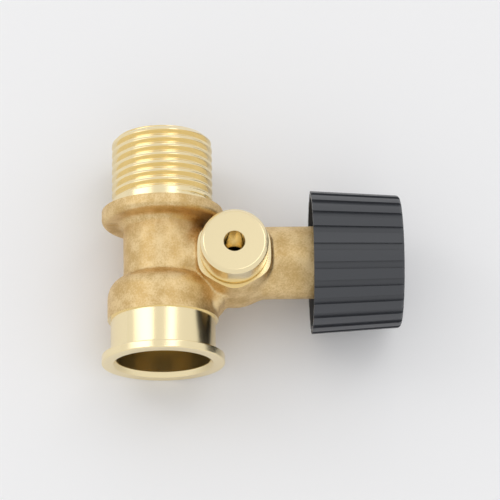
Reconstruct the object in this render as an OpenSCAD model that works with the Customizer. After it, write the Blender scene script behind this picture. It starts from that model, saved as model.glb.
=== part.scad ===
// Boiler filling tap: a forged and turned brass tee with a screw-down valve in its
// side branch, a plain filling outlet over the valve chamber and a hollow fluted knob.
// The origin is the centre of the socket's mouth. +Y runs up the main tube to the
// threaded inlet, +X out along the branch to the knob, and +Z along the filling outlet.

/* [Main tube] */
// Height of the branch axis above the socket's mouth
branch_y = 21.45; // [20:0.05:30]
// Diameter of the waterway through the main tube
waterway_d = 12; // [9:0.5:13]
// Wall of the main tube between flange and collar
tube_wall = 2.05; // [1.5:0.05:2.6]

/* [Inlet] */
// Outside diameter of the pipe thread, G 1/2
inlet_thread_d = 20.955; // [18:0.005:26.4]
// Distance from the branch axis to the inlet's free end
inlet_len = 27.3; // [22:0.1:36]
// Chamfer at the inlet's free end
inlet_chamfer = 1.1; // [0.3:0.1:1.5]
// Distance from the branch axis to the underside of the flange
flange_rise = 8.5; // [8:0.1:12]
// Thickness of the flange
flange_t = 2.8; // [2:0.1:5]
// How far the flange stands out past the thread
flange_rim = 2.15; // [1:0.05:4]
// Round on the flange's edges
flange_round = 0.8; // [0.3:0.1:0.9]
// Radius of the hollow under the flange
flange_root = 1.6; // [0.5:0.1:3]

/* [Socket] */
// Bore of the socket that slides over the boiler's spigot
socket_d = 18.9; // [16:0.1:22]
// Depth of the socket
socket_depth = 13; // [9:0.1:15]
// Chamfer at the socket's mouth
socket_chamfer = 0.8; // [0.3:0.1:1]
// Wall of the turned spigot around the socket
spigot_wall = 1.3; // [1:0.05:2]
// Height of the turned spigot, lip included
spigot_len = 9.25; // [6:0.05:11]
// Thickness of the lip that the clip holds
lip_t = 1.7; // [1:0.1:3]
// How far the lip stands out past the spigot
lip_rim = 1.85; // [1:0.05:3]
// How far the forged collar stands out past the spigot
collar_step = 0.6; // [0.3:0.05:1.5]
// Distance from the branch axis down to the top of the collar
collar_drop = 3.4; // [2:0.1:6]
// Radius of the collar's domed shoulder
collar_round = 4.1; // [3:0.1:5]

/* [Branch] */
// Bonnet thread in the end of the branch
bonnet_thread_d = 12; // [11:0.5:14]
// Wall of the branch around the bonnet thread
branch_wall = 1.53; // [1.2:0.01:2.5]
// Distance from the main axis to the branch's end face
branch_len = 33.5; // [31:0.5:38]
// Diameter of the valve chamber
chamber_d = 10; // [9:0.1:10.8]

/* [Filling outlet] */
// Distance from the main axis to the outlet's axis
outlet_x = 14.7; // [14:0.1:17]
// Distance from the branch axis to the nose's end face
outlet_h = 14.96; // [12:0.01:25]
// Diameter of the turned nose
nose_d = 13.8; // [10:0.1:16]
// Chamfer on the nose's edge
nose_chamfer = 0.65; // [0.2:0.05:1]
// Depth of the tool groove at the nose's foot
nose_groove = 0.3; // [0.1:0.05:0.6]
// Width of the tool groove at the nose's foot
nose_groove_w = 0.7; // [0.4:0.1:1.2]
// Bore of the outlet
outlet_bore_d = 4.26; // [2:0.02:6]
// Distance from the branch axis to the turned shoulder
shoulder_h = 8.2; // [7.8:0.1:10]
// How far the shoulder stands out past the nose
shoulder_rim = 1.05; // [0.3:0.05:2]
// Distance across the shoulder's forged flats
shoulder_flats = 15; // [14.5:0.1:17]
// How much the forged boss grows in radius down to the parting line
boss_spread = 1.2; // [0.3:0.05:2]

/* [Valve] */
// Bore of the valve seat
seat_d = 5.5; // [4.6:0.1:6]
// Distance from the main axis to the seat's face
seat_x = 10.5; // [10:0.1:12]
// Height of the seat's ring above the chamber floor
seat_h = 0.8; // [0.4:0.1:1.2]
// Width of the seat's ring
seat_land = 0.8; // [0.5:0.1:1.2]
// Thickness of the seat washer
washer_t = 2.5; // [1.5:0.1:3]
// How far the seat washer reaches past the seat's ring
washer_rim = 0.35; // [0.1:0.05:0.5]
// Thickness of the valve disc
disc_t = 1.6; // [1:0.1:2.5]
// Wall of the disc's cup around the washer
cup_wall = 0.4; // [0.3:0.05:0.6]
// Depth of the disc's cup
cup_depth = 1; // [0.4:0.1:1.2]
// Diameter of the disc's stem
disc_stem_d = 3.8; // [3:0.1:4.4]
// Length of the disc's stem
disc_stem_len = 8.4; // [5:0.1:9]
// Diameter of the washer screw's shank
washer_screw_d = 2; // [1.6:0.1:2.4]
// Length of the washer screw's shank
washer_screw_len = 4.6; // [4.2:0.1:7]
// Head diameter of the washer screw
washer_head_d = 4.2; // [3.4:0.1:4.4]
// Head height of the washer screw
washer_head_h = 0.9; // [0.6:0.1:1.2]

/* [Bonnet] */
// Distance across the flats of the bonnet's hexagon
bonnet_flats = 13.5; // [12.5:0.1:15]
// Thickness of the bonnet's hexagon
bonnet_hex_t = 3; // [2:0.1:4]
// Length of the bonnet's threaded end inside the branch
bonnet_insert = 9.5; // [8:0.1:10]
// How far the bonnet thread runs on into the branch past the bonnet
bonnet_relief = 1.5; // [0.5:0.1:2.5]
// Diameter of the bonnet's nose
bonnet_nose_d = 10; // [8.6:0.1:11.5]
// Length of the bonnet's nose
bonnet_nose_len = 3.1; // [2:0.1:3.4]
// Length of the smooth bore that guides the stem
guide_len = 7.3; // [7:0.1:8.2]
// Section of the ring that seals the bonnet
bonnet_ring_t = 1.06; // [0.8:0.02:1.2]

/* [Spindle] */
// Outside diameter of the spindle's lifting thread
spindle_thread_d = 8; // [7.2:0.1:8.6]
// Pitch of the lifting thread
spindle_pitch = 1.5; // [1:0.05:1.6]
// Turns of the knob from shut to fully open
open_turns = 2.5; // [1.5:0.25:2.5]
// Diameter of the stem
stem_d = 6; // [5.4:0.1:6.6]
// Section of each ring on the stem
stem_ring_t = 1.2; // [1:0.02:1.3]
// Land between the two ring grooves
stem_land = 0.4; // [0.2:0.1:0.6]
// Teeth of the spline that turns the knob
spline_teeth = 20; // [12:1:24]
// Depth of the spline's teeth
spline_depth = 0.35; // [0.2:0.05:0.45]
// How far the spline's tips lie inside the stem's surface
spline_inset = 0.1; // [0.05:0.05:0.3]

/* [Knob] */
// Distance from the main axis to the knob's open rim
knob_x = 30.7; // [29:0.1:32]
// Length of the knob
knob_len = 18.35; // [17.6:0.05:22]
// Diameter over the lands at the open rim
knob_rim_d = 29.64; // [27:0.1:34]
// Draft of the knob's side in degrees
knob_draft = 3.37; // [0:0.1:5]
// Round on the edge of the closed end
knob_round = 0.8; // [0.3:0.1:1.2]
// Number of flutes
flute_count = 24; // [12:1:30]
// Width of each flute
flute_w = 1.55; // [0.8:0.05:2]
// Depth of each flute
flute_depth = 0.5; // [0.2:0.05:0.8]
// Turn of the flutes about the axis in degrees
flute_turn = -9.7; // [-15:0.1:15]
// Wall of the skirt under the flutes
skirt_wall = 0.9; // [0.7:0.1:1.6]
// Thickness of the closed end
knob_end_t = 2.2; // [1.6:0.1:3]
// Diameter of the knob's hub
hub_d = 10.4; // [9:0.1:13]
// Thickness of the hub's floor under the screw head
hub_floor = 1.2; // [0.8:0.1:1.6]
// Number of ribs between hub and skirt
rib_count = 6; // [3:1:8]
// Thickness of each rib
rib_t = 1.1; // [0.8:0.1:2]
// Depth of each rib below the closed end
rib_depth = 4.2; // [2:0.1:5]
// Diameter of the well for the screw head
well_d = 8.4; // [7:0.1:9.6]
// Depth of the well for the screw head
well_depth = 2.6; // [2.2:0.1:3]

/* [Knob screw] */
// Shank diameter of the knob screw
knob_screw_d = 2.9; // [2.2:0.1:3.2]
// Length of the knob screw's shank
knob_screw_len = 7; // [4:0.1:8]
// Head diameter of the knob screw
knob_head_d = 5.6; // [4.6:0.1:6]
// Head height of the knob screw
knob_head_h = 1.9; // [1.2:0.1:2]
// Width of the cross slots in both screws
slot_w = 0.8; // [0.4:0.1:1]

/* [Clearances] */
// Radial clearance of a turning or sliding fit
running_c = 0.05; // [0.02:0.01:0.1]
// Radial clearance of a thread or a ring that seals
seal_c = 0.02; // [0.01:0.01:0.05]
// Gap between the bonnet's nose and the knob's hub when shut
hub_gap = 0.5; // [0.3:0.1:1]
// Gap left at the stop when the tap is fully open
stop_gap = 0.35; // [0.2:0.05:0.6]
// Relief past the end of each blind hole
hole_relief = 0.6; // [0.2:0.1:1]

/* [Hidden] */
$fn = 96;
eps = 0.01;
cut_past = 1;
brass_forged = [0.80, 0.63, 0.34];
brass_turned = [0.92, 0.80, 0.52];
rubber_black = [0.09, 0.09, 0.09];
knob_plastic = [0.20, 0.21, 0.23];
screw_steel = [0.72, 0.73, 0.75];

// Main tube, from the free end of the inlet down to the lip
inlet_end = branch_y + inlet_len;
thread_r = inlet_thread_d / 2;
flange_r = thread_r + flange_rim;
flange_low = branch_y + flange_rise;
tube_r = waterway_d / 2 + tube_wall;
spigot_r = socket_d / 2 + spigot_wall;
lip_r = spigot_r + lip_rim;
collar_r = spigot_r + collar_step;
collar_top = branch_y - collar_drop;

// Branch and filling outlet
branch_r = bonnet_thread_d / 2 + branch_wall;
nose_r = nose_d / 2;
shoulder_r = nose_r + shoulder_rim;
boss_r = shoulder_r + boss_spread;
boss_skirt = 2.6;
flat_draft = 2 * boss_spread / shoulder_h;
web_reach = 2.2;

// Stations along the branch, measured from the main axis
chamber_floor = seat_x - seat_h;
washer_back = seat_x + washer_t;
disc_back = washer_back + disc_t;
washer_r = seat_d / 2 + seat_land + washer_rim;
cup_r = washer_r + cup_wall;
bonnet_start = branch_len - bonnet_insert;
chamber_end = bonnet_start - bonnet_relief;
bonnet_nose = branch_len + bonnet_hex_t;
bonnet_end = bonnet_nose + bonnet_nose_len;
guide_start = bonnet_end - guide_len;
travel = spindle_pitch * open_turns;
thread_stop = guide_start - travel - stop_gap;

// Rings and their grooves: a ring fills its groove but for the sealing clearance
bonnet_r = bonnet_thread_d / 2 - running_c;
bonnet_groove_r = bonnet_thread_d / 2 - bonnet_ring_t - 2 * seal_c;
bonnet_groove_w = bonnet_ring_t + 0.4;
bonnet_groove_x = branch_len - 0.5 - bonnet_groove_w;
guide_r = stem_d / 2 + running_c;
stem_groove_r = guide_r - stem_ring_t - 2 * seal_c;
stem_groove_w = stem_ring_t + 0.2;
inner_groove_x = guide_start + 0.2;
outer_groove_x = inner_groove_x + stem_groove_w + stem_land;

// Knob
knob_end = knob_x + knob_len;
rim_r = knob_rim_d / 2;
knob_end_r = rim_r - knob_len * tan(knob_draft);
skirt_in_r = rim_r - flute_depth - skirt_wall;
cavity_end = knob_end - knob_end_t;
cavity_end_r = skirt_in_r - (cavity_end - knob_x) * tan(knob_draft);
hub_x = bonnet_end + hub_gap;
well_floor = knob_end - well_depth;
spindle_end = well_floor - hub_floor - running_c;

// Points on a round, from angle a0 to a1 about the centre c
function round_points(c, r, a0, a1, steps = 6) =
    [for (i = [0:steps]) let (a = a0 + (a1 - a0) * i / steps) c + r * [cos(a), sin(a)]];

// Outline of a spline with its tips at radius r
function spline_points(r) =
    [for (i = [0:2 * spline_teeth - 1])
        let (p = r - (i % 2) * spline_depth, a = i * 180 / spline_teeth) [p * cos(a), p * sin(a)]];

// A turned solid about the main axis, from points [radius, height]
module turned_y(points) {
    rotate([-90, 0, 0]) rotate_extrude() polygon(points);
}

// A turned solid about the branch axis, from points [radius, station]
module turned_x(points) {
    translate([0, branch_y, 0]) rotate([0, 90, 0]) rotate_extrude() polygon(points);
}

// A plain cylinder along the branch axis between two stations
module bar_x(r, x0, x1) {
    translate([x0, branch_y, 0]) rotate([0, 90, 0]) cylinder(r = r, h = x1 - x0);
}

// A plain cylinder along the main axis between two heights
module bar_y(r, y0, y1) {
    translate([0, y0, 0]) rotate([-90, 0, 0]) cylinder(r = r, h = y1 - y0);
}

// A sealing ring about the branch axis
module ring_x(r, x, section) {
    translate([x, branch_y, 0]) rotate([0, 90, 0]) rotate_extrude()
        translate([r, 0]) circle(d = section, $fn = 32);
}

// Threaded inlet and flange, turned and forged outside
module inlet_outside() {
    turned_y(concat(
        [[0, branch_y], [tube_r, branch_y]],
        round_points([tube_r + flange_root, flange_low - flange_root], flange_root, 180, 90),
        round_points([flange_r - flange_round, flange_low + flange_round], flange_round, -90, 0),
        round_points([flange_r - flange_round, flange_low + flange_t - flange_round],
            flange_round, 0, 90),
        [[thread_r, flange_low + flange_t], [thread_r, inlet_end - inlet_chamfer],
        [thread_r - inlet_chamfer, inlet_end], [0, inlet_end]]));
}

// Domed collar, turned spigot and lip
module socket_outside() {
    turned_y(concat(
        [[0, 0], [lip_r, 0], [lip_r, lip_t], [spigot_r, lip_t], [spigot_r, spigot_len],
        [collar_r, spigot_len]],
        round_points([collar_r - collar_round, collar_top - collar_round], collar_round, 0, 80),
        [[tube_r - eps, collar_top], [tube_r - eps, branch_y], [0, branch_y]]));
}

// Forged boss under the filling outlet: drafted above the parting plane, domed below it
module boss() {
    dome = boss_r / 2;
    translate([outlet_x, branch_y, 0]) rotate_extrude() polygon(concat(
        [[0, shoulder_h], [shoulder_r, shoulder_h], [boss_r, 0]],
        round_points([boss_r - dome, -boss_skirt], dome, 0, -85),
        [[0, -boss_skirt - dome]]));
}

// Turned nose with a tool groove at its foot
module nose() {
    translate([outlet_x, branch_y, 0]) rotate_extrude() polygon([[0, 0], [nose_r - nose_groove, 0],
        [nose_r - nose_groove, shoulder_h + nose_groove_w], [nose_r, shoulder_h + nose_groove_w],
        [nose_r, outlet_h - nose_chamfer], [nose_r - nose_chamfer, outlet_h], [0, outlet_h]]);
}

// Two drafted planes facing each other across the boss
module flat_pair() {
    foot = shoulder_flats / 2 + flat_draft * shoulder_h;
    top = shoulder_flats / 2 - flat_draft * cut_past;
    rotate([90, 0, 0]) linear_extrude(4 * boss_r, center = true)
        polygon([[-foot, -2 * boss_r], [foot, -2 * boss_r], [foot, 0],
            [top, shoulder_h + cut_past], [-top, shoulder_h + cut_past], [-foot, 0]]);
}

// Boss cut to six flats at the shoulder, which die out towards the parting plane
module flatted_boss() {
    intersection() {
        boss();
        translate([outlet_x, branch_y, 0]) intersection_for (turn = [0, 60, 120])
            rotate([0, 0, turn]) flat_pair();
    }
}

// Forged web that fills the corner between the collar and the boss
module web() {
    half = shoulder_h * 0.6;
    translate([0, 0, -half]) linear_extrude(2 * half)
        polygon([[tube_r * 0.5, branch_y - collar_drop * 0.5], [outlet_x, branch_y - boss_r * 0.6],
            [outlet_x - web_reach, branch_y - boss_r - 0.1], [collar_r, spigot_len + web_reach * 0.9],
            [collar_r * 0.6, spigot_len + web_reach]]);
}

// Waterway, socket, seat passage, valve chamber, bonnet thread and outlet bore
module waterways() {
    bar_y(waterway_d / 2, -cut_past, inlet_end + cut_past);
    turned_y([[0, -cut_past], [socket_d / 2 + socket_chamfer + cut_past, -cut_past],
        [socket_d / 2, socket_chamfer], [socket_d / 2, socket_depth], [0, socket_depth]]);
    bar_x(seat_d / 2, 0, chamber_end);
    difference() {
        bar_x(chamber_d / 2, chamber_floor, chamber_end + eps);
        bar_x(seat_d / 2 + seat_land, chamber_floor - cut_past, seat_x);
    }
    bar_x(bonnet_thread_d / 2, chamber_end, branch_len + cut_past);
    translate([outlet_x, branch_y, 0]) cylinder(d = outlet_bore_d, h = outlet_h + cut_past);
}

// Forged and machined brass body
module valve_body() {
    color(brass_forged) difference() {
        union() {
            inlet_outside();
            socket_outside();
            bar_x(branch_r, 0, branch_len);
            flatted_boss();
            nose();
            web();
        }
        waterways();
    }
}

// Bonnet: threaded into the branch, threaded inside for the spindle, bored for the stem
module bonnet() {
    lift_r = spindle_thread_d / 2 + running_c;
    chamfer = 0.5;
    color(brass_turned) difference() {
        union() {
            turned_x([[0, bonnet_start], [bonnet_r - chamfer, bonnet_start],
                [bonnet_r, bonnet_start + chamfer], [bonnet_r, bonnet_groove_x],
                [bonnet_groove_r, bonnet_groove_x],
                [bonnet_groove_r, bonnet_groove_x + bonnet_groove_w],
                [bonnet_r, bonnet_groove_x + bonnet_groove_w], [bonnet_r, branch_len],
                [0, branch_len]]);
            translate([branch_len, branch_y, 0]) rotate([0, 90, 0])
                cylinder(d = bonnet_flats / cos(30), h = bonnet_hex_t, $fn = 6);
            turned_x([[0, bonnet_nose], [bonnet_nose_d / 2, bonnet_nose],
                [bonnet_nose_d / 2, bonnet_end - chamfer], [bonnet_nose_d / 2 - chamfer, bonnet_end],
                [0, bonnet_end]]);
        }
        bar_x(lift_r, bonnet_start - cut_past, guide_start);
        bar_x(guide_r, bonnet_start, bonnet_end + cut_past);
    }
}

// Ring that seals the bonnet in the branch
module bonnet_ring() {
    color(rubber_black) ring_x((bonnet_groove_r + bonnet_thread_d / 2) / 2,
        bonnet_groove_x + bonnet_groove_w / 2, bonnet_ring_t);
}

// Valve disc with a cup for the washer and a stem that turns freely in the spindle
module valve_disc() {
    cup_x = washer_back - cup_depth;
    stem_r = disc_stem_d / 2;
    color(brass_turned) difference() {
        turned_x([[0, washer_back], [washer_r + running_c, washer_back], [washer_r + running_c, cup_x],
            [cup_r + running_c, cup_x], [cup_r + running_c, disc_back], [stem_r, disc_back],
            [stem_r, disc_back + disc_stem_len], [0, disc_back + disc_stem_len]]);
        bar_x(washer_screw_d / 2 + running_c, washer_back - cut_past,
            seat_x + washer_screw_len + hole_relief);
    }
}

// Rubber washer that closes on the seat
module seat_washer() {
    color(rubber_black) difference() {
        bar_x(washer_r, seat_x, washer_back);
        bar_x(washer_screw_d / 2 + running_c, seat_x - cut_past, washer_back + cut_past);
    }
}

// Cross slots for a driver, cut into a screw head between two stations
module cross_slot(x0, x1, reach) {
    for (turn = [0, 90])
        translate([x0, branch_y, 0]) rotate([turn, 0, 0])
            translate([0, -reach / 2, -slot_w / 2]) cube([x1 - x0, reach, slot_w]);
}

// Screw that holds the washer in the disc
module washer_screw() {
    color(brass_turned) difference() {
        union() {
            bar_x(washer_head_d / 2, seat_x - washer_head_h, seat_x);
            bar_x(washer_screw_d / 2, seat_x - eps, seat_x + washer_screw_len);
        }
        cross_slot(seat_x - washer_head_h - cut_past, seat_x - washer_head_h / 2, washer_head_d * 0.6);
    }
}

// Spindle: lifting thread, stem with two ring grooves, spline for the knob
module spindle() {
    stem_r = stem_d / 2;
    thread_out_r = spindle_thread_d / 2;
    color(brass_turned) difference() {
        union() {
            turned_x([[0, disc_back], [thread_out_r, disc_back], [thread_out_r, thread_stop],
                [stem_r, thread_stop],
                [stem_r, inner_groove_x], [stem_groove_r, inner_groove_x],
                [stem_groove_r, inner_groove_x + stem_groove_w], [stem_r, inner_groove_x + stem_groove_w],
                [stem_r, outer_groove_x], [stem_groove_r, outer_groove_x],
                [stem_groove_r, outer_groove_x + stem_groove_w], [stem_r, outer_groove_x + stem_groove_w],
                [stem_r, hub_x], [0, hub_x]]);
            translate([hub_x - eps, branch_y, 0]) rotate([0, 90, 0])
                linear_extrude(spindle_end - hub_x + eps)
                    polygon(spline_points(stem_r - spline_inset));
        }
        bar_x(disc_stem_d / 2 + running_c, disc_back - cut_past, disc_back + disc_stem_len + hole_relief);
        bar_x(knob_screw_d / 2 + running_c, well_floor - knob_screw_len - hole_relief,
            spindle_end + cut_past);
    }
}

// Ring on the stem in the groove that starts at the station x
module stem_ring(x) {
    color(rubber_black)
        ring_x((stem_groove_r + guide_r) / 2, x + stem_groove_w / 2, stem_ring_t);
}

// Lower ring on the stem
module stem_ring_inner() {
    stem_ring(inner_groove_x);
}

// Upper ring on the stem
module stem_ring_outer() {
    stem_ring(outer_groove_x);
}

// Flutes along the knob's drafted side, open at both ends
module flutes() {
    side = knob_len / cos(knob_draft);
    for (i = [0:flute_count - 1])
        translate([knob_x, branch_y, 0]) rotate([flute_turn + i * 360 / flute_count, 0, 0])
            translate([0, 0, rim_r - flute_depth]) rotate([0, knob_draft, 0])
                translate([-cut_past, -flute_w / 2, 0])
                    cube([side + 2 * cut_past, flute_w, 2 * flute_depth + cut_past]);
}

// Hollow knob: fluted skirt, closed end, ribs and a splined hub with a screw well
module knob() {
    color(knob_plastic) difference() {
        union() {
            difference() {
                turned_x(concat([[0, knob_x], [rim_r, knob_x]],
                    round_points([knob_end_r - knob_round, knob_end - knob_round], knob_round, 0, 90),
                    [[0, knob_end]]));
                turned_x([[0, knob_x - cut_past], [skirt_in_r, knob_x - cut_past],
                    [skirt_in_r, knob_x], [cavity_end_r, cavity_end], [0, cavity_end]]);
                flutes();
            }
            bar_x(hub_d / 2, hub_x, cavity_end + eps);
            for (i = [0:rib_count - 1])
                translate([cavity_end - rib_depth, branch_y, 0]) rotate([i * 360 / rib_count, 0, 0])
                    translate([0, -rib_t / 2, hub_d / 2 - eps * 10])
                        cube([rib_depth + eps, rib_t, cavity_end_r - hub_d / 2 + eps * 20]);
        }
        bar_x(well_d / 2, well_floor, knob_end + cut_past);
        bar_x(knob_screw_d / 2 + running_c, hub_x, knob_end);
        translate([hub_x - cut_past, branch_y, 0]) rotate([0, 90, 0])
            linear_extrude(spindle_end - hub_x + running_c + cut_past)
                polygon(spline_points(stem_d / 2 - spline_inset + running_c));
    }
}

// Screw that holds the knob on the spindle
module knob_screw() {
    color(screw_steel) difference() {
        union() {
            bar_x(knob_head_d / 2, well_floor, well_floor + knob_head_h);
            bar_x(knob_screw_d / 2, well_floor - knob_screw_len, well_floor + eps);
        }
        cross_slot(well_floor + knob_head_h * 0.4, knob_end, knob_head_d * 0.65);
    }
}

valve_body();
bonnet();
bonnet_ring();
valve_disc();
seat_washer();
washer_screw();
spindle();
stem_ring_inner();
stem_ring_outer();
knob();
knob_screw();
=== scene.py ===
"""Looks of a boiler filling tap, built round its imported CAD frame.

The origin is the centre of the socket's mouth. +Y runs up the main tube to the threaded
inlet, +X out along the branch to the knob, and +Z along the filling outlet. Shapes are
worked out in millimetres and put into the meshes in metres.
"""

import bpy
import numpy as np
from mathutils import Matrix, Vector


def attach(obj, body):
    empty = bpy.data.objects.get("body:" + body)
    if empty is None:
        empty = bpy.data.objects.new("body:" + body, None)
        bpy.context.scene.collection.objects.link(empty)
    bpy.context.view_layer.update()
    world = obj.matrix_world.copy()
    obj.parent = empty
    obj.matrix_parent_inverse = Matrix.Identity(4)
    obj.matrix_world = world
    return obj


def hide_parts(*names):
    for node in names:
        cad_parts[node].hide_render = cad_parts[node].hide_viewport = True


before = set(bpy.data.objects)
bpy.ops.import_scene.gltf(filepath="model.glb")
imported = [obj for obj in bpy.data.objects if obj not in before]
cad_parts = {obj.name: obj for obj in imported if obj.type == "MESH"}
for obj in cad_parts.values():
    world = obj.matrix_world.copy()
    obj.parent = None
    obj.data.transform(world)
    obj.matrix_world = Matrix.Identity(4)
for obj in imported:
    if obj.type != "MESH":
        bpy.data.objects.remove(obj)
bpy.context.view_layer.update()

MM = 0.001
PI = np.pi

# Sizes of the tap in millimetres, as in the CAD model
BRANCH_Y = 21.45
INLET_END = 48.75
THREAD_R = 10.4775
THREAD_PITCH = 1.814
INLET_CHAMFER = 1.1
FLANGE_LOW = 29.95
FLANGE_TOP = 32.75
FLANGE_R = 12.6275
TUBE_R = 8.05
WATERWAY_R = 6.0
COLLAR_R = 11.35
COLLAR_TOP = 18.05
COLLAR_ROUND = 4.1
SPIGOT_R = 10.75
SPIGOT_LEN = 9.25
LIP_R = 12.6
LIP_T = 1.7
SOCKET_R = 9.45
SOCKET_DEPTH = 13.0
SOCKET_CHAMFER = 0.8
BRANCH_R = 7.53
BRANCH_LEN = 33.5
CHAMBER_R = 5.0
CHAMBER_FLOOR = 9.7
CHAMBER_END = 22.5
SEAT_R = 2.75
SEAT_X = 10.5
SEAT_RING_R = 3.55
BONNET_THREAD_R = 6.0
OUTLET_X = 14.7
NOSE_TOP = 36.41 - BRANCH_Y
NOSE_R = 6.9
NOSE_CHAMFER = 0.65
NOSE_GROOVE = 0.3
NOSE_GROOVE_W = 0.7
OUTLET_BORE_R = 2.13
SHOULDER_Z = 8.2
SHOULDER_R = 7.95
BOSS_R = 9.15
FLATS_HALF = 7.5
FLATS_DRAFT = 2 * 1.2 / 8.2


def eased(corners, steps=4, hold=0.07):
    """A profile with its inner corners rounded.

    Each corner is [radius, height, ease]. The corner P is cut back by its ease along both
    of its sides to A and B and replaced by the parabola (1-t)^2 A + 2t(1-t) P + t^2 B. A
    point a little before A and one after B keep the flats beside the round flat.
    """
    path = [np.array(corners[0][:2], float)]
    for before, here, after in zip(corners, corners[1:], corners[2:]):
        p = np.array(here[:2], float)
        back = np.array(before[:2], float) - p
        on = np.array(after[:2], float) - p
        room = min(np.hypot(*back), np.hypot(*on)) * 0.45
        ease = min(here[2] if len(here) > 2 else 0.0, room)
        if ease <= 0:
            path.append(p)
            continue
        back /= np.hypot(*back)
        on /= np.hypot(*on)
        hold_on = min(hold, room - ease)
        t = np.linspace(0, 1, steps + 1)[:, None]
        curve = (1 - t) ** 2 * (p + back * ease) + 2 * t * (1 - t) * p + t ** 2 * (p + on * ease)
        if hold_on > 0:
            path.append(p + back * (ease + hold_on))
        path.extend(curve)
        if hold_on > 0:
            path.append(p + on * (ease + hold_on))
    path.append(np.array(corners[-1][:2], float))
    return np.array(path)


ACROSS = {"x": (1, 2, 0), "y": (2, 0, 1), "z": (0, 1, 2)}


def about(axis, centre, radius, angle, height):
    """Points at a radius, an angle and a height about an axis through a centre.

    The angle runs from Y to Z about X, from Z to X about Y, and from X to Y about Z.
    """
    first, second, along = ACROSS[axis]
    radius, angle, height = np.broadcast_arrays(radius, angle, height)
    points = np.empty(radius.shape + (3,))
    points[..., first] = radius * np.cos(angle)
    points[..., second] = radius * np.sin(angle)
    points[..., along] = height
    return points + np.array(centre, float)


def grid_faces(rows, columns):
    """Two triangles for each cell of a grid whose points are numbered row by row."""
    a = (np.arange(rows - 1)[:, None] * columns + np.arange(columns - 1)).ravel()
    lower = np.stack([a, a + 1, a + columns + 1], -1)
    upper = np.stack([a, a + columns + 1, a + columns], -1)
    return np.concatenate([lower, upper])


def welded(points, faces):
    """Points that round to the same tenth of a micron become one, and flat faces go."""
    keys = np.round(points * 1e4).astype(np.int64)
    _, first, where = np.unique(keys, axis=0, return_index=True, return_inverse=True)
    faces = where.reshape(-1)[faces]
    a, b, c = faces.T
    return points[first], faces[(a != b) & (b != c) & (c != a)]


def new_piece(name, points, faces, finish):
    """A mesh object from points in millimetres, welded, with one finish."""
    points, faces = welded(points.reshape(-1, 3), faces)
    mesh = bpy.data.meshes.new(name)
    mesh.from_pydata(points * MM, [], faces)
    mesh.materials.append(finish)
    piece = bpy.data.objects.new(name, mesh)
    bpy.context.scene.collection.objects.link(piece)
    return piece


def turned(name, axis, centre, profile, finish, columns=192):
    """A turned solid: a profile of [radius, height] carried once round an axis.

    The profile starts and ends on the axis, and runs outwards first, then up, then in.
    """
    angle = np.linspace(0, 2 * PI, columns + 1)
    points = about(axis, centre, profile[:, :1], angle[None, :], profile[:, 1:])
    return new_piece(name, points, grid_faces(len(profile), columns + 1), finish)


def cut(piece, tool, how="DIFFERENCE"):
    """Adds one machining step to a piece: a tool that is cut away, joined or kept."""
    step = piece.modifiers.new(tool.name, "BOOLEAN")
    step.operation = how
    step.object = tool
    step.solver = "MANIFOLD"
    step.material_mode = "TRANSFER"


def machined(piece, sharp_degrees):
    """Carries out a piece's machining steps, removes the tools and shades it."""
    tools = [step.object for step in piece.modifiers]
    done = bpy.data.meshes.new_from_object(
        piece.evaluated_get(bpy.context.evaluated_depsgraph_get()))
    piece.modifiers.clear()
    old, piece.data = piece.data, done
    done.name = piece.name
    bpy.data.meshes.remove(old)
    for tool in tools:
        bpy.data.meshes.remove(tool.data)
    shaded(piece, sharp_degrees)
    return piece


def shaded(piece, sharp_degrees):
    """Smooth shading, with edges sharper than an angle left sharp."""
    piece.data.shade_smooth()
    piece.data.set_sharp_from_angle(angle=np.radians(sharp_degrees))


def join_round(a, b, radius):
    """Distance to two joined shapes whose inner corner is filled with a round fillet."""
    fillet = np.hypot(np.maximum(radius - a, 0), np.maximum(radius - b, 0))
    return np.maximum(radius, np.minimum(a, b)) - fillet


def meet_round(a, b, radius):
    """Distance to what two shapes share, with its outer corner rounded."""
    return -join_round(-a, -b, radius)


def round_disc(across, along, radius, low, high, ease):
    """Distance to a disc between two heights whose rims have a round."""
    out = across - (radius - ease)
    over = np.abs(along - (low + high) / 2) - ((high - low) / 2 - ease)
    return np.hypot(np.maximum(out, 0), np.maximum(over, 0)) + np.minimum(
        np.maximum(out, over), 0) - ease


def lumps(x, y, z, wave, seed):
    """Gentle unevenness from -1 to 1: twelve sine waves in fixed random directions."""
    rng = np.random.default_rng(seed)
    total = 0
    for _ in range(12):
        k = rng.normal(size=3)
        k *= 2 * PI / wave * rng.uniform(0.7, 1.4) / np.linalg.norm(k)
        total = total + np.sin(x * k[0] + y * k[1] + z * k[2] + rng.uniform(0, 2 * PI))
    return total / 6


def nub(x, y, z, place, size, height):
    """A soft bump, or a pit where its height is negative, at one place."""
    away = (x - place[0]) ** 2 + (y - place[1]) ** 2 + (z - place[2]) ** 2
    return height * np.exp(-away / size ** 2)


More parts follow.
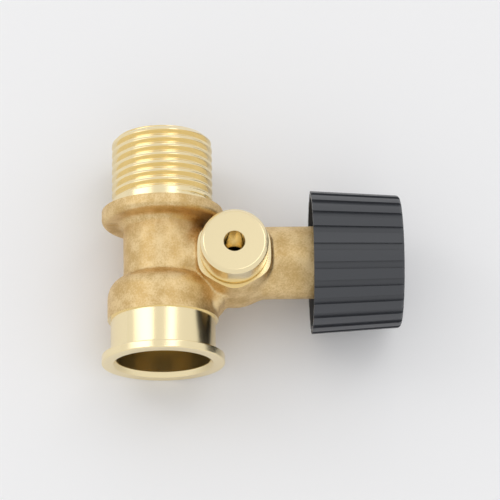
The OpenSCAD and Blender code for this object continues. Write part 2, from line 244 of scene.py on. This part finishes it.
def forged_blank(x, y, z):
    """Distance to the forging before it is machined, negative inside.

    Tube, flange, domed collar, branch, drafted boss and web are round or flat-sided
    distances joined with fillets. The parting line is a low ridge in the plane z = 0.
    """
    main = np.hypot(x, z)
    side = np.hypot(y - BRANCH_Y, z)
    outlet = np.hypot(x - OUTLET_X, y - BRANCH_Y)
    tube = np.maximum(main - TUBE_R, np.abs(y - 21) - 11)
    flange = round_disc(main, y, FLANGE_R - 0.03, FLANGE_LOW, FLANGE_TOP + 0.9, 1.1)
    collar = round_disc(main, y, COLLAR_R - 0.03, 3.0, COLLAR_TOP, COLLAR_ROUND)
    body = join_round(tube, flange, 1.5)
    body = join_round(body, collar, 0.55)
    branch = meet_round(side - BRANCH_R + 0.02, np.abs(x - 17.5) - 17.0, 0.8)
    body = join_round(body, branch, 0.9)
    rise = np.clip(z, 0, None)
    spread = BOSS_R - (BOSS_R - SHOULDER_R) * rise / SHOULDER_Z
    boss = outlet - spread
    flats = FLATS_HALF + FLATS_DRAFT * (SHOULDER_Z - z)
    for turn in np.radians([0, 60, 120]):
        u = (x - OUTLET_X) * np.cos(turn) + (y - BRANCH_Y) * np.sin(turn)
        boss = meet_round(boss, (np.abs(u) - flats) * 0.96, 0.5)
    dome = np.sqrt(outlet ** 2 * 0.75 + np.clip(-z - 1.5, 0, None) ** 2 * 1.9) - 8.0
    boss = np.maximum(boss, z - SHOULDER_Z - 0.7)
    boss = meet_round(boss, dome, 1.0)
    web = web_wall(x, y, z)
    body = join_round(body, web, 0.8)
    body = join_round(body, boss, 0.9)
    ridge = 0.07 * np.exp(-(z / 0.28) ** 2) * (main < COLLAR_R + 0.9)
    uneven = 0.035 * lumps(x, y, z, 7.0, 3) + 0.02 * lumps(x, y, z, 2.6, 4)
    edge = np.clip((12.0 - np.maximum(main - 0.2, 0) * (y > 28)) / 1.0, 0, 1)
    return np.maximum(body - ridge * edge - uneven * edge, 8.6 - y)


def web_wall(x, y, z):
    """Distance to the web between collar and boss: a drafted slab with four sides."""
    corners = np.array([[4.0, 19.8], [14.7, 16.0], [12.4, 12.1], [11.3, 10.9], [6.0, 10.6]])
    sides = np.full_like(x, -1e9)
    for a, b in zip(corners, np.roll(corners, -1, axis=0)):
        along = (b - a) / np.hypot(*(b - a))
        sides = np.maximum(sides, (y - a[1]) * along[0] - (x - a[0]) * along[1])
    return meet_round(sides, np.abs(z) - 4.9, 1.2)


CORNERS = np.array([[i, j, k] for i in (0, 1) for j in (0, 1) for k in (0, 1)])


def surface_of(field, low, high, step):
    """The zero surface of a distance field, as points and triangles.

    Each cell of a cubic grid that the surface passes gets one point, the mean of where
    its edges cross zero, then slid along the slope of the field until it reads zero. Each
    grid edge that crosses zero joins the points of its four cells.
    """
    lines = [np.arange(a, b + step, step) for a, b in zip(low, high)]
    value = field(*np.meshgrid(*lines, indexing="ij"))
    shape = np.array(value.shape)
    inside = value < 0
    cells = tuple(slice(0, n - 1) for n in shape)
    count = np.zeros(shape - 1, np.int8)
    for corner in CORNERS:
        count += inside[tuple(slice(c, n - 1 + c) for c, n in zip(corner, shape))]
    crossed = (count > 0) & (count < 8)
    where = np.argwhere(crossed)
    number = np.full(crossed.shape, -1)
    number[crossed] = np.arange(len(where))
    at = np.stack([value[tuple((where + c).T)] for c in CORNERS], -1)
    total = np.zeros((len(where), 3))
    hits = np.zeros(len(where))
    for i, a in enumerate(CORNERS):
        for j, b in enumerate(CORNERS):
            if j > i and np.abs(a - b).sum() == 1:
                crosses = (at[:, i] < 0) != (at[:, j] < 0)
                gap = np.where(crosses, at[:, i] - at[:, j], 1.0)
                t = (at[:, i] / gap)[:, None]
                total += crosses[:, None] * (a + (b - a) * t)
                hits += crosses
    points = (where + total / hits[:, None]) * step + np.array(low)
    for _ in range(3):
        points = points - slope_step(field, points)
    faces = []
    for axis in range(3):
        one, two = (axis + 1) % 3, (axis + 2) % 3
        span = [slice(1, n - 1) for n in shape]
        span[axis] = slice(0, shape[axis] - 1)
        after = list(span)
        after[axis] = slice(1, shape[axis])
        start, end = inside[tuple(span)], inside[tuple(after)]
        edge = np.argwhere(start != end)
        outward = start[start != end]
        edge[:, one] += 1
        edge[:, two] += 1
        ring = []
        for back_one, back_two in ((1, 1), (0, 1), (0, 0), (1, 0)):
            cell = edge.copy()
            cell[:, one] -= back_one
            cell[:, two] -= back_two
            ring.append(number[tuple(cell.T)])
        ring = np.stack(ring, -1)
        ring = np.where(outward[:, None], ring, ring[:, ::-1])
        faces += [ring[:, [0, 1, 2]], ring[:, [0, 2, 3]]]
    return points, np.concatenate(faces)


def slope_step(field, points):
    """The step down the slope of a field that brings each point to zero."""
    h = 0.01
    here = field(*points.T)
    slope = np.stack([
        (field(*(points + h * axis).T) - field(*(points - h * axis).T)) / (2 * h)
        for axis in np.eye(3)], -1)
    return np.clip(here / np.maximum((slope ** 2).sum(-1), 0.2), -0.1, 0.1)[:, None] * slope


# Stations across one pitch of the thread, from root to root, with the crest at 0
PITCH_STATIONS = np.array([-0.5, -0.47, -0.43, -0.36, -0.28, -0.2, -0.165, -0.15, -0.13,
                           -0.05, -0.02, 0.0, 0.02, 0.05, 0.13, 0.15, 0.165, 0.2, 0.28,
                           0.36, 0.43, 0.47])


def thread_depth(station):
    """Depth of the thread below its crest, in millimetres, across one pitch.

    A flat crest with a fine line along its middle, straight flanks and a rounded root.
    """
    away = np.abs(station)
    flank = np.clip((away - 0.155) / 0.315, 0, 1)
    root = 1.1 * np.where(flank > 0.85, 0.85 + 0.1 * np.sin((flank - 0.85) / 0.15 * PI / 2), flank)
    line = 0.05 * np.exp(-(station / 0.025) ** 2)
    return root + line


def thread_solid(finish):
    """The inlet's outside: a plain band, a right-hand thread and a chamfered end.

    The grid is sheared along the helix, so its rows follow crest and root. The groove
    starts beside the band and deepens over its first quarter turn.
    """
    turns = np.arange(-9, 4)
    stations = (turns[:, None] + PITCH_STATIONS[None, :]).ravel()
    angle = np.linspace(-PI, PI, 241)
    crest = 45.856
    low = FLANGE_TOP - 1.0
    height = crest + THREAD_PITCH * (stations[:, None] + angle[None, :] / (2 * PI))
    height = np.clip(height, low, INLET_END)
    phase = (height - crest) / THREAD_PITCH - angle[None, :] / (2 * PI)
    groove = np.floor(phase) + 0.5
    run = angle[None, :] + 2 * PI * (groove + 6.5) - np.radians(17)
    start = np.clip(run / np.radians(110), 0, 1)
    depth = np.clip(thread_depth(phase - np.round(phase)) - 1.05 * (1 - start), 0, None)
    radius = THREAD_R - depth
    chamfer = THREAD_R - INLET_CHAMFER + (INLET_END - height)
    radius = np.minimum(radius, chamfer)
    points = about("y", (0, 0, 0), radius, angle[None, :], height)
    rows, columns = radius.shape
    base = about("y", (0, 0, 0), np.zeros((1, columns)), angle[None, :], low)
    lid = about("y", (0, 0, 0), np.zeros((1, columns)), angle[None, :], INLET_END)
    points = np.concatenate([base, points, lid])
    return new_piece("thread_tool", points, grid_faces(rows + 2, columns), finish)


def valve_body(forged, bright):
    """The brass body: a forged blank, turned, threaded and bored."""
    points, faces = surface_of(forged_blank, (-13.4, 8.0, -13.4), (35.0, 34.6, 13.4), 0.3)
    body = new_piece("tap_body_brass", points, faces, forged)
    body.data.materials.append(bright)
    faces_cut = [
        ("socket_face_tool", "y", (0, 0, 0), [[0, -5], [20, -5], [20, SPIGOT_LEN], [0, SPIGOT_LEN]]),
        ("flange_face_tool", "y", (0, 0, 0), [[0, FLANGE_TOP], [20, FLANGE_TOP], [20, 60], [0, 60]]),
        ("branch_face_tool", "x", (0, BRANCH_Y, 0), [[0, BRANCH_LEN], [20, BRANCH_LEN], [20, 50], [0, 50]]),
        ("shoulder_tool", "z", (OUTLET_X, BRANCH_Y, 0),
         [[0, SHOULDER_Z], [9.3, SHOULDER_Z], [9.3, 11], [0, 11]]),
    ]
    for name, axis, centre, profile in faces_cut:
        cut(body, turned(name, axis, centre, np.array(profile, float), bright))
    spigot = eased([[0, 0], [LIP_R, 0, 0.22], [LIP_R, LIP_T, 0.22], [SPIGOT_R, LIP_T, 0.12],
                    [SPIGOT_R, SPIGOT_LEN + 0.6], [0, SPIGOT_LEN + 0.6]])
    cut(body, turned("spigot_tool", "y", (0, 0, 0), spigot, bright, 240), "UNION")
    foot = NOSE_R - NOSE_GROOVE
    nose = eased([[0, 0], [foot, 0], [foot, SHOULDER_Z + NOSE_GROOVE_W, 0.2],
                  [NOSE_R, SHOULDER_Z + NOSE_GROOVE_W, 0.1],
                  [NOSE_R, NOSE_TOP - NOSE_CHAMFER, 0.15], [NOSE_R - NOSE_CHAMFER, NOSE_TOP, 0.2],
                  [0, NOSE_TOP]])
    cut(body, turned("nose_tool", "z", (OUTLET_X, BRANCH_Y, 0), nose, bright), "UNION")
    cut(body, thread_solid(bright), "UNION")
    bores = [
        ("waterway_tool", "y", (0, 0, 0), [[0, 5], [WATERWAY_R, 5], [WATERWAY_R, INLET_END - 0.4],
                                           [WATERWAY_R + 0.8, INLET_END + 0.4], [0, INLET_END + 0.4]]),
        ("socket_tool", "y", (0, 0, 0), [[0, -1], [SOCKET_R + SOCKET_CHAMFER + 1, -1],
                                         [SOCKET_R, SOCKET_CHAMFER, 0.3], [SOCKET_R, SOCKET_DEPTH],
                                         [0, SOCKET_DEPTH]]),
        ("seat_tool", "x", (0, BRANCH_Y, 0), [[0, 0], [SEAT_R, 0], [SEAT_R, CHAMBER_END],
                                              [0, CHAMBER_END]]),
        ("bonnet_tool", "x", (0, BRANCH_Y, 0), [[0, CHAMBER_END], [BONNET_THREAD_R, CHAMBER_END],
                                                [BONNET_THREAD_R, 40], [0, 40]]),
        ("outlet_tool", "z", (OUTLET_X, BRANCH_Y, 0),
         [[0, 2], [OUTLET_BORE_R, 2], [OUTLET_BORE_R, NOSE_TOP - 0.12],
          [OUTLET_BORE_R + 0.32, NOSE_TOP + 0.2], [0, NOSE_TOP + 0.2]]),
    ]
    for name, axis, centre, profile in bores:
        cut(body, turned(name, axis, centre, eased(profile), bright, 128))
    chamber = np.array([[SEAT_RING_R, SEAT_X], [SEAT_RING_R, CHAMBER_FLOOR],
                        [CHAMBER_R, CHAMBER_FLOOR], [CHAMBER_R, CHAMBER_END + 0.1],
                        [0, CHAMBER_END + 0.1], [0, SEAT_X], [SEAT_RING_R, SEAT_X]], float)
    cut(body, turned("chamber_tool", "x", (0, BRANCH_Y, 0), chamber, bright, 128))
    return machined(body, 28)


def socket_of(node, name):
    """A node's input by its name."""
    return node.inputs[name]


def add_node(tree, kind, inputs=None, **settings):
    """A node in a tree, with its settings, and inputs that are values or other outputs."""
    node = tree.nodes.new(kind)
    for name, value in settings.items():
        setattr(node, name, value)
    for name, value in (inputs or {}).items():
        if isinstance(value, bpy.types.NodeSocket):
            tree.links.new(value, node.inputs[name])
        else:
            node.inputs[name].default_value = value
    return node


def effect(name, inputs, outputs):
    """An empty shader node group with named inputs and outputs."""
    group = bpy.data.node_groups.new(name, "ShaderNodeTree")
    for label, kind, value in inputs:
        made = group.interface.new_socket(name=label, in_out="INPUT", socket_type=kind)
        made.default_value = value
    for label, kind in outputs:
        group.interface.new_socket(name=label, in_out="OUTPUT", socket_type=kind)
    return group, group.nodes.new("NodeGroupInput"), group.nodes.new("NodeGroupOutput")


def ramp(tree, value, low, high):
    """A value's range from low to high stretched to 0 to 1."""
    return add_node(tree, "ShaderNodeMapRange", {"Value": value, "From Min": low, "From Max": high},
                    interpolation_type="SMOOTHSTEP").outputs["Result"]


def blend_colour(tree, mask, first, second):
    """One colour where a mask is 0 and another where it is 1."""
    node = add_node(tree, "ShaderNodeMix", data_type="RGBA")
    for place, value in ((0, mask), (6, first), (7, second)):
        if isinstance(value, bpy.types.NodeSocket):
            tree.links.new(value, node.inputs[place])
        else:
            node.inputs[place].default_value = value
    return node.outputs[2]


def rgba(red, green, blue):
    """An opaque colour."""
    return (red, green, blue, 1.0)


def forged_grain_group():
    """Blasted forging skin: grain, patches and small bright facets."""
    group, given, made = effect("forged_grain", [
        ("Pale", "NodeSocketColor", rgba(0.86, 0.66, 0.36)),
        ("Deep", "NodeSocketColor", rgba(0.62, 0.42, 0.17)),
        ("Grain", "NodeSocketFloat", 2600.0)],
        [("Color", "NodeSocketColor"), ("Roughness", "NodeSocketFloat"),
         ("Height", "NodeSocketFloat")])
    place = add_node(group, "ShaderNodeTexCoord").outputs["Object"]
    grain = add_node(group, "ShaderNodeTexNoise",
                     {"Vector": place, "Scale": given.outputs["Grain"], "Detail": 3.0,
                      "Roughness": 0.6}).outputs["Fac"]
    patch = add_node(group, "ShaderNodeTexNoise",
                     {"Vector": place, "Scale": 320.0, "Detail": 4.0}).outputs["Fac"]
    mixed = add_node(group, "ShaderNodeMath", {0: grain, 1: patch}, operation="ADD").outputs[0]
    tone = ramp(group, mixed, 0.72, 1.28)
    colour = blend_colour(group, tone, given.outputs["Deep"], given.outputs["Pale"])
    rough = add_node(group, "ShaderNodeMapRange",
                     {"Value": grain, "From Min": 0.3, "From Max": 0.7, "To Min": 0.38,
                      "To Max": 0.56}).outputs["Result"]
    group.links.new(colour, made.inputs["Color"])
    group.links.new(rough, made.inputs["Roughness"])
    group.links.new(mixed, made.inputs["Height"])
    return group


def place_group(tree, group, values):
    """A group's node in a material, with its own values."""
    node = tree.nodes.new("ShaderNodeGroup")
    node.node_tree = group
    for name, value in values.items():
        node.inputs[name].default_value = value
    return node


def finish_of(name, base, metallic, roughness, coat=0.0):
    """A material with a Principled shader and plain values for a start."""
    material = bpy.data.materials.new(name)
    material.use_nodes = True
    shader = material.node_tree.nodes["Principled BSDF"]
    shader.inputs["Base Color"].default_value = rgba(*base)
    shader.inputs["Metallic"].default_value = metallic
    shader.inputs["Roughness"].default_value = roughness
    shader.inputs["Coat Weight"].default_value = coat
    return material, material.node_tree, shader


def bump_from(tree, height, strength, distance, shader):
    """Relief from a height in the shader's Normal."""
    bump = add_node(tree, "ShaderNodeBump", {"Height": height, "Strength": strength,
                                             "Distance": distance})
    tree.links.new(bump.outputs["Normal"], shader.inputs["Normal"])


grain_group = forged_grain_group()

forged_brass, tree, shader = finish_of("forged_brass", (0.8, 0.58, 0.28), 1.0, 0.45)
grain = place_group(tree, grain_group, {})
tree.links.new(grain.outputs["Color"], shader.inputs["Base Color"])
tree.links.new(grain.outputs["Roughness"], shader.inputs["Roughness"])
bump_from(tree, grain.outputs["Height"], 0.5, 0.00006, shader)

turned_brass, tree, shader = finish_of("turned_brass", (0.93, 0.79, 0.49), 1.0, 0.2)
knob_black, tree, shader = finish_of("knob_plastic", (0.05, 0.053, 0.06), 0.0, 0.42)
seal_black, tree, shader = finish_of("seal_rubber", (0.02, 0.02, 0.02), 0.0, 0.6)
zinc, tree, shader = finish_of("screw_steel", (0.7, 0.71, 0.73), 1.0, 0.3)

body_piece = valve_body(forged_brass, turned_brass)
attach(body_piece, "tap_body")
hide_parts("valve_body")

for node, material in (("bonnet", turned_brass), ("bonnet_ring", seal_black),
                       ("valve_disc", turned_brass), ("seat_washer", seal_black),
                       ("washer_screw", turned_brass), ("spindle", turned_brass),
                       ("stem_ring_inner", seal_black), ("stem_ring_outer", seal_black),
                       ("knob", knob_black), ("knob_screw", zinc)):
    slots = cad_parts[node].data.materials
    slots.clear()
    slots.append(material)


def camera_at_photo():
    """The camera that took the photograph: azimuth, elevation, roll, distance, target."""
    azimuth, elevation, roll = np.radians([-3.782, 71.52, 2.913])
    back = np.array([np.sin(azimuth) * np.cos(elevation), -np.cos(azimuth) * np.cos(elevation),
                     np.sin(elevation)])
    right = np.array([np.cos(azimuth), np.sin(azimuth), 0])
    up = np.cross(back, right)
    right, up = (np.cos(roll) * right + np.sin(roll) * up,
                 -np.sin(roll) * right + np.cos(roll) * up)
    eye = np.array([18.111, 24.365, 0]) + back * 514.31
    data = bpy.data.cameras.new("camera")
    data.lens = 2481.25 / 500 * 36
    data.sensor_width = 36
    data.clip_start = 0.01
    data.clip_end = 20
    camera = bpy.data.objects.new("camera", data)
    matrix = np.eye(4)
    matrix[:3, 0], matrix[:3, 1], matrix[:3, 2], matrix[:3, 3] = right, up, back, eye * MM
    camera.matrix_world = Matrix(matrix.tolist())
    bpy.context.scene.collection.objects.link(camera)
    bpy.context.scene.camera = camera


def floor_plane():
    """The table that the tap lies on: a plane that touches flange, lip and knob rim."""
    tilt = np.arctan2(14.82, 30.7) - np.arcsin(12.6 / np.hypot(30.7, 14.82))
    normal = np.array([np.sin(tilt), 0, np.cos(tilt)])
    across = np.array([np.cos(tilt), 0, -np.sin(tilt)])
    along = np.array([0, 1.0, 0])
    middle = -12.66 * normal
    reach = 4000.0
    corners = np.array([middle + reach * (i * across + j * along)
                        for i, j in ((-1, -1), (1, -1), (1, 1), (-1, 1))])
    material, tree, shader = finish_of("table", (0.92, 0.92, 0.93), 0.0, 0.9)
    floor = new_piece("table", corners, np.array([[0, 1, 2], [0, 2, 3]]), material)


def softbox(name, direction, distance, width, height, radiance):
    """A rectangular lamp that faces the tap from a direction."""
    data = bpy.data.lights.new(name, "AREA")
    data.shape = "RECTANGLE"
    data.size = width
    data.size_y = height
    data.energy = radiance * PI * width * height
    lamp = bpy.data.objects.new(name, data)
    away = Vector(direction).normalized()
    lamp.location = Vector((0.015, 0.022, 0)) + away * distance
    lamp.rotation_euler = away.to_track_quat("Z", "Y").to_euler()
    bpy.context.scene.collection.objects.link(lamp)


def world_light(level):
    """A white tent all round."""
    world = bpy.data.worlds.new("tent")
    bpy.context.scene.world = world
    world.use_nodes = True
    world.node_tree.nodes["Background"].inputs["Color"].default_value = rgba(level, level, level)
    world.node_tree.nodes["Background"].inputs["Strength"].default_value = 1.0


camera_at_photo()
floor_plane()
world_light(0.85)
softbox("softbox_left", (-np.sin(np.radians(44)), 0.33, np.cos(np.radians(44))), 1.0, 0.25, 0.8, 1.2)
softbox("softbox_right", (np.sin(np.radians(20)), 0.33, np.cos(np.radians(20))), 1.0, 0.2, 0.8, 1.2)
bpy.context.scene.view_settings.view_transform = "Standard"
